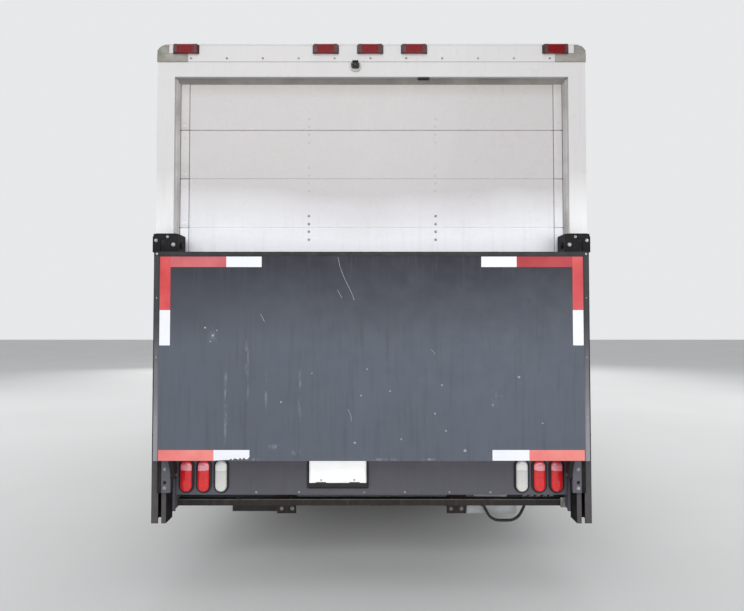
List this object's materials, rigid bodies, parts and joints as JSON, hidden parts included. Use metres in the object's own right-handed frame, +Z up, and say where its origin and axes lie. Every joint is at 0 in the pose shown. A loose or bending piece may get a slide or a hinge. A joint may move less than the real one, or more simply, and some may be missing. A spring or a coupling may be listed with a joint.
{
  "type": "full-size van with cargo box and rail lift",
  "caption": "Full-size van with a box body, roll-up back door and a rail lift platform stowed upright; steers, rolls and opens",
  "frame": {"origin": "on the ground under the middle of the vehicle's outline", "axes": "+X the vehicle's right, +Y forward along its length to the nose, +Z up"},
  "size_m": [2.53, 6.803, 2.9019],
  "materials": {
    "white_paint": "gloss",
    "door_paint": "satin",
    "slate_paint": "satin",
    "rail_paint": "satin",
    "chassis_paint": "matte",
    "grey_sill": "satin",
    "cast_steel": "rough",
    "bare_aluminium": "satin",
    "red_lens": "gloss",
    "dark_red_lens": "gloss",
    "amber_lens": "gloss",
    "clear_lens": "gloss",
    "black_plastic": "matte",
    "grey_plastic": "matte",
    "plate_white": "satin",
    "tinted_glass": "clear",
    "seat_fabric": "woven",
    "wheel_paint": "satin",
    "tyre_rubber": "matte"
  },
  "bodies": {
    "chassis": {"frame_rails": "chassis_paint", "front_axle": "chassis_paint", "rear_axle": "chassis_paint", "springs": "chassis_paint", "driveline": "cast_steel", "engine_block": "cast_steel", "fuel_tank": "black_plastic", "exhaust": "bare_aluminium", "box_floor": "grey_sill", "box_front_wall": "white_paint", "box_roof": "white_paint", "rear_frame": "white_paint", "roll_door": "door_paint", "rear_sill": "grey_sill", "underride_bar": "grey_sill", "red_marker_lamps": "dark_red_lens", "amber_marker_lamps": "amber_lens", "tail_lamps": "red_lens", "reverse_lamps": "clear_lens", "number_plate": "plate_white", "rear_camera": "black_plastic", "lift_rails": "rail_paint", "lift_pump": "bare_aluminium", "cab_shell": "white_paint", "windshield": "tinted_glass", "grille": "black_plastic", "headlamps": "clear_lens", "front_bumper": "grey_plastic", "dashboard": "grey_plastic", "seats": "seat_fabric", "box_side_left": "white_paint", "box_side_right": "white_paint"},
    "door_left": {"door_left": "white_paint", "door_glass_left": "tinted_glass", "mirror_left": "black_plastic"},
    "knuckle_left": {"knuckle_left": "cast_steel"},
    "front_wheel_left": {"front_tyre_left": "tyre_rubber", "front_rim_left": "wheel_paint"},
    "rear_wheel_left": {"rear_tyres_left": "tyre_rubber", "rear_rims_left": "wheel_paint"},
    "door_right": {"door_right": "white_paint", "door_glass_right": "tinted_glass", "mirror_right": "black_plastic"},
    "knuckle_right": {"knuckle_right": "cast_steel"},
    "front_wheel_right": {"front_tyre_right": "tyre_rubber", "front_rim_right": "wheel_paint"},
    "rear_wheel_right": {"rear_tyres_right": "tyre_rubber", "rear_rims_right": "wheel_paint"},
    "hood": {"hood": "white_paint"},
    "tie_rod": {"tie_rod": "cast_steel"},
    "lift_carriage": {"lift_runners": "grey_sill"},
    "platform": {"lift_platform": "slate_paint"}
  },
  "joints": [
    {"name": "hood_hinge", "type": "hinge", "parent": "chassis", "child": "hood", "pos_m": [0, 2.669, 1.26137], "axis": [1, 0, 0], "range_deg": [0, 55]},
    {"name": "door_left_hinge", "type": "hinge", "parent": "chassis", "child": "door_left", "pos_m": [-1.008, 2.454, 1], "axis": [0, 0, -1], "range_deg": [0, 65]},
    {"name": "door_right_hinge", "type": "hinge", "parent": "chassis", "child": "door_right", "pos_m": [1.008, 2.454, 1], "axis": [0, 0, 1], "range_deg": [0, 65]},
    {"name": "steer_left", "type": "hinge", "parent": "chassis", "child": "knuckle_left", "pos_m": [-0.79, 2.6015, 0.372], "axis": [0, 0, 1], "range_deg": [-32, 32]},
    {"name": "steer_right", "type": "hinge", "parent": "chassis", "child": "knuckle_right", "pos_m": [0.79, 2.6015, 0.372], "axis": [0, 0, 1], "range_deg": [-32, 32]},
    {"name": "tie_rod_shift", "type": "slide", "parent": "chassis", "child": "tie_rod", "axis": [1, 0, 0], "range_m": [-0.0605, 0.0605]},
    {"name": "spin_front_left", "type": "hinge", "parent": "knuckle_left", "child": "front_wheel_left", "pos_m": [-0.8815, 2.6015, 0.372], "axis": [1, 0, 0], "continuous": true},
    {"name": "spin_front_right", "type": "hinge", "parent": "knuckle_right", "child": "front_wheel_right", "pos_m": [0.8815, 2.6015, 0.372], "axis": [1, 0, 0], "continuous": true},
    {"name": "spin_rear_left", "type": "hinge", "parent": "chassis", "child": "rear_wheel_left", "pos_m": [-0.85, -1.4115, 0.372], "axis": [1, 0, 0], "continuous": true},
    {"name": "spin_rear_right", "type": "hinge", "parent": "chassis", "child": "rear_wheel_right", "pos_m": [0.85, -1.4115, 0.372], "axis": [1, 0, 0], "continuous": true},
    {"name": "lift_slide", "type": "slide", "parent": "chassis", "child": "lift_carriage", "axis": [0, 0, 1], "range_m": [-0.49, 0.266]},
    {"name": "platform_hinge", "type": "hinge", "parent": "lift_carriage", "child": "platform", "pos_m": [0, -3.3135, 0.59], "axis": [1, 0, 0], "range_deg": [0, 90]}
  ],
  "couplings": [
    {"joint": "steer_right", "follows": "steer_left", "ratio": 1},
    {"joint": "tie_rod_shift", "follows": "steer_left", "m_per_rad": 0.107}
  ]
}
